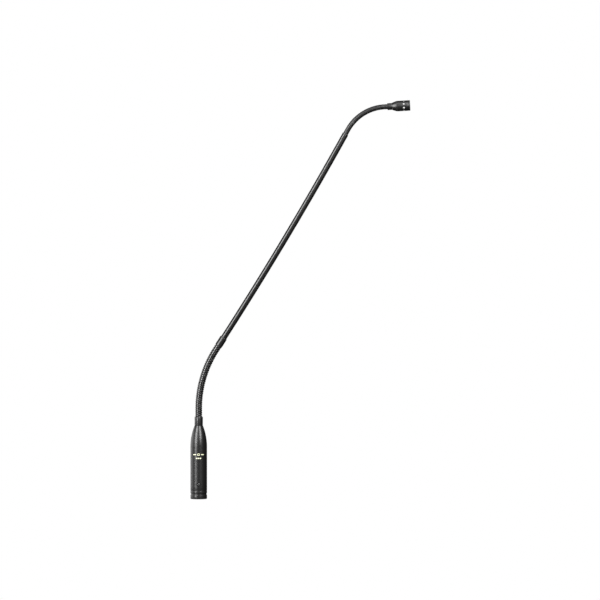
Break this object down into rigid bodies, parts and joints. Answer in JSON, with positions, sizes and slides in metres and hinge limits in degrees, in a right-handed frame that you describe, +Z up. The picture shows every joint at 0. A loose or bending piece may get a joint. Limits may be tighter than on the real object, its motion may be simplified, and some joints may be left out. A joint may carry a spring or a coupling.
{
  "type": "gooseneck podium microphone",
  "caption": "Slim plug-in podium microphone: connector base with an ogive shoulder, bendable lower and upper necks joined by a straight stem, and a small ported cylinder head.",
  "frame": {"origin": "centre of the base's open end, in the plane of its rim, where it meets the panel socket", "axes": "+Z up along the base's own axis; the necks and the stem lean towards +X in the plane y = 0; the retaining screw faces -Y"},
  "size_m": [0.2521, 0.019, 0.4572],
  "materials": {
    "black_coat": "satin black powder coat",
    "black_tube": "satin black coat on steel tube",
    "neck_coil": "satin black plating on wound steel wire",
    "moulding": "moulded black",
    "contact_plate": "silver plate on brass",
    "plated_steel": "zinc plate",
    "dark_screw": "blackened steel",
    "board": "green solder mask",
    "sleeve": "translucent insulating film",
    "capacitor": "shrink sleeve",
    "cable": "matte jacket",
    "grille": "black woven wire",
    "felt": "pressed felt",
    "capsule_can": "drawn can",
    "rubber": "soft black",
    "lead_red": "wire insulation",
    "lead_white": "wire insulation"
  },
  "bodies": {
    "base": {"base_shell": "black_coat", "xlr_insert": "moulding", "xlr_pin_1": "contact_plate", "xlr_pin_2": "contact_plate", "xlr_pin_3": "contact_plate", "ground_spring": "contact_plate", "insert_screw": "dark_screw", "preamp_board": "board", "coupling_capacitor_1": "capacitor", "coupling_capacitor_2": "capacitor", "board_transistor": "moulding", "board_sleeve": "sleeve", "base_cable": "cable", "cable_clamp": "moulding", "neck_nut": "plated_steel", "base_ferrule": "black_coat", "lower_neck_base_end": "neck_coil", "lower_neck_cable": "cable"},
    "lower_link_01": {"lower_neck_link_01": "neck_coil"},
    "lower_link_02": {"lower_neck_link_02": "neck_coil"},
    "lower_link_03": {"lower_neck_link_03": "neck_coil"},
    "lower_link_04": {"lower_neck_link_04": "neck_coil"},
    "lower_link_05": {"lower_neck_link_05": "neck_coil"},
    "lower_link_06": {"lower_neck_link_06": "neck_coil"},
    "lower_link_07": {"lower_neck_link_07": "neck_coil"},
    "lower_link_08": {"lower_neck_link_08": "neck_coil"},
    "lower_link_09": {"lower_neck_link_09": "neck_coil"},
    "lower_link_10": {"lower_neck_link_10": "neck_coil"},
    "lower_link_11": {"lower_neck_link_11": "neck_coil"},
    "lower_link_12": {"lower_neck_link_12": "neck_coil"},
    "lower_link_13": {"lower_neck_link_13": "neck_coil"},
    "stem": {"lower_neck_stem_end": "neck_coil", "lower_coupler": "black_coat", "stem_tube": "black_tube", "upper_neck_bush": "plated_steel", "stem_cable": "cable", "upper_neck_stem_end": "neck_coil", "upper_neck_cable": "cable"},
    "upper_link_01": {"upper_neck_link_01": "neck_coil"},
    "upper_link_02": {"upper_neck_link_02": "neck_coil"},
    "upper_link_03": {"upper_neck_link_03": "neck_coil"},
    "upper_link_04": {"upper_neck_link_04": "neck_coil"},
    "upper_link_05": {"upper_neck_link_05": "neck_coil"},
    "upper_link_06": {"upper_neck_link_06": "neck_coil"},
    "upper_link_07": {"upper_neck_link_07": "neck_coil"},
    "upper_link_08": {"upper_neck_link_08": "neck_coil"},
    "upper_link_09": {"upper_neck_link_09": "neck_coil"},
    "head": {"upper_neck_head_end": "neck_coil", "tip_ferrule": "black_coat", "head_housing": "black_coat", "housing_nut": "plated_steel", "front_rim": "black_coat", "front_grille": "grille", "windscreen_felt": "felt", "electret_capsule": "capsule_can", "capsule_gasket": "rubber", "capsule_board": "board", "capsule_lead_1": "lead_red", "capsule_lead_2": "lead_white"}
  },
  "joints": [
    {"name": "lower_neck_pitch_1", "type": "hinge", "parent": "base", "child": "lower_link_01", "pos_m": [0, 0, 0.09747], "axis": [0, 1, 0], "range_deg": [-17, 8.5], "deforming": ["lower_neck_cable"]},
    {"name": "lower_neck_yaw_1", "type": "hinge", "parent": "lower_link_01", "child": "lower_link_02", "pos_m": [0, 0, 0.10361], "axis": [1, 0, 0], "range_deg": [-8.5, 8.5]},
    {"name": "lower_neck_pitch_2", "type": "hinge", "parent": "lower_link_02", "child": "lower_link_03", "pos_m": [0.00014, 0, 0.10976], "axis": [0, 1, 0], "range_deg": [-17, 8.5]},
    {"name": "lower_neck_yaw_2", "type": "hinge", "parent": "lower_link_03", "child": "lower_link_04", "pos_m": [0.00058, 0, 0.11588], "axis": [0.9953, 0, -0.0965], "range_deg": [-8.5, 8.5]},
    {"name": "lower_neck_pitch_3", "type": "hinge", "parent": "lower_link_04", "child": "lower_link_05", "pos_m": [0.00132, 0, 0.12198], "axis": [0, 1, 0], "range_deg": [-17, 8.5]},
    {"name": "lower_neck_yaw_3", "type": "hinge", "parent": "lower_link_05", "child": "lower_link_06", "pos_m": [0.00237, 0, 0.12803], "axis": [0.9809, 0, -0.1943], "range_deg": [-8.5, 8.5]},
    {"name": "lower_neck_pitch_4", "type": "hinge", "parent": "lower_link_06", "child": "lower_link_07", "pos_m": [0.00371, 0, 0.13403], "axis": [0, 1, 0], "range_deg": [-17, 8.5]},
    {"name": "lower_neck_yaw_4", "type": "hinge", "parent": "lower_link_07", "child": "lower_link_08", "pos_m": [0.00534, 0, 0.13995], "axis": [0.957, 0, -0.2902], "range_deg": [-8.5, 8.5]},
    {"name": "lower_neck_pitch_5", "type": "hinge", "parent": "lower_link_08", "child": "lower_link_09", "pos_m": [0.00727, 0, 0.14578], "axis": [0, 1, 0], "range_deg": [-17, 8.5]},
    {"name": "lower_neck_yaw_5", "type": "hinge", "parent": "lower_link_09", "child": "lower_link_10", "pos_m": [0.00949, 0, 0.15151], "axis": [0.9236, 0, -0.3833], "range_deg": [-8.5, 8.5]},
    {"name": "lower_neck_pitch_6", "type": "hinge", "parent": "lower_link_10", "child": "lower_link_11", "pos_m": [0.01198, 0, 0.15712], "axis": [0, 1, 0], "range_deg": [-17, 8.5]},
    {"name": "lower_neck_yaw_6", "type": "hinge", "parent": "lower_link_11", "child": "lower_link_12", "pos_m": [0.01475, 0, 0.1626], "axis": [0.8813, 0, -0.4726], "range_deg": [-8.5, 8.5]},
    {"name": "lower_neck_pitch_7", "type": "hinge", "parent": "lower_link_12", "child": "lower_link_13", "pos_m": [0.01778, 0, 0.16794], "axis": [0, 1, 0], "range_deg": [-17, 8.5]},
    {"name": "lower_neck_yaw_7", "type": "hinge", "parent": "lower_link_13", "child": "stem", "pos_m": [0.02106, 0, 0.17314], "axis": [0.841, 0, -0.541], "range_deg": [-8.5, 8.5]},
    {"name": "upper_neck_pitch_1", "type": "hinge", "parent": "stem", "child": "upper_link_01", "pos_m": [0.1698, 0, 0.4212], "axis": [0, 1, 0], "range_deg": [-23, 7], "deforming": ["upper_neck_cable"]},
    {"name": "upper_neck_yaw_1", "type": "hinge", "parent": "upper_link_01", "child": "upper_link_02", "pos_m": [0.17284, 0, 0.42643], "axis": [0.8386, 0, -0.5448], "range_deg": [-12, 12]},
    {"name": "upper_neck_pitch_2", "type": "hinge", "parent": "upper_link_02", "child": "upper_link_03", "pos_m": [0.17643, 0, 0.43129], "axis": [0, 1, 0], "range_deg": [-23, 7]},
    {"name": "upper_neck_yaw_2", "type": "hinge", "parent": "upper_link_03", "child": "upper_link_04", "pos_m": [0.18057, 0, 0.4357], "axis": [0.6874, 0, -0.7263], "range_deg": [-12, 12]},
    {"name": "upper_neck_pitch_3", "type": "hinge", "parent": "upper_link_04", "child": "upper_link_05", "pos_m": [0.1852, 0, 0.43959], "axis": [0, 1, 0], "range_deg": [-23, 7]},
    {"name": "upper_neck_yaw_3", "type": "hinge", "parent": "upper_link_05", "child": "upper_link_06", "pos_m": [0.19026, 0, 0.44291], "axis": [0.4978, 0, -0.8673], "range_deg": [-12, 12]},
    {"name": "upper_neck_pitch_4", "type": "hinge", "parent": "upper_link_06", "child": "upper_link_07", "pos_m": [0.19567, 0, 0.4456], "axis": [0, 1, 0], "range_deg": [-23, 7]},
    {"name": "upper_neck_yaw_4", "type": "hinge", "parent": "upper_link_07", "child": "upper_link_08", "pos_m": [0.20136, 0, 0.44764], "axis": [0.2804, 0, -0.9599], "range_deg": [-12, 12]},
    {"name": "upper_neck_pitch_5", "type": "hinge", "parent": "upper_link_08", "child": "upper_link_09", "pos_m": [0.20726, 0, 0.44899], "axis": [0, 1, 0], "range_deg": [-23, 7]},
    {"name": "upper_neck_yaw_5", "type": "hinge", "parent": "upper_link_09", "child": "head", "pos_m": [0.21327, 0, 0.44963], "axis": [0.0567, 0, -0.9984], "range_deg": [-12, 12]}
  ],
  "couplings": [
    {"joint": "lower_neck_pitch_2", "follows": "lower_neck_pitch_1", "ratio": 1},
    {"joint": "lower_neck_yaw_2", "follows": "lower_neck_yaw_1", "ratio": 1},
    {"joint": "lower_neck_pitch_3", "follows": "lower_neck_pitch_1", "ratio": 1},
    {"joint": "lower_neck_yaw_3", "follows": "lower_neck_yaw_1", "ratio": 1},
    {"joint": "lower_neck_pitch_4", "follows": "lower_neck_pitch_1", "ratio": 1},
    {"joint": "lower_neck_yaw_4", "follows": "lower_neck_yaw_1", "ratio": 1},
    {"joint": "lower_neck_pitch_5", "follows": "lower_neck_pitch_1", "ratio": 1},
    {"joint": "lower_neck_yaw_5", "follows": "lower_neck_yaw_1", "ratio": 1},
    {"joint": "lower_neck_pitch_6", "follows": "lower_neck_pitch_1", "ratio": 1},
    {"joint": "lower_neck_yaw_6", "follows": "lower_neck_yaw_1", "ratio": 1},
    {"joint": "lower_neck_pitch_7", "follows": "lower_neck_pitch_1", "ratio": 1},
    {"joint": "lower_neck_yaw_7", "follows": "lower_neck_yaw_1", "ratio": 1},
    {"joint": "upper_neck_pitch_2", "follows": "upper_neck_pitch_1", "ratio": 1},
    {"joint": "upper_neck_yaw_2", "follows": "upper_neck_yaw_1", "ratio": 1},
    {"joint": "upper_neck_pitch_3", "follows": "upper_neck_pitch_1", "ratio": 1},
    {"joint": "upper_neck_yaw_3", "follows": "upper_neck_yaw_1", "ratio": 1},
    {"joint": "upper_neck_pitch_4", "follows": "upper_neck_pitch_1", "ratio": 1},
    {"joint": "upper_neck_yaw_4", "follows": "upper_neck_yaw_1", "ratio": 1},
    {"joint": "upper_neck_pitch_5", "follows": "upper_neck_pitch_1", "ratio": 1},
    {"joint": "upper_neck_yaw_5", "follows": "upper_neck_yaw_1", "ratio": 1}
  ]
}
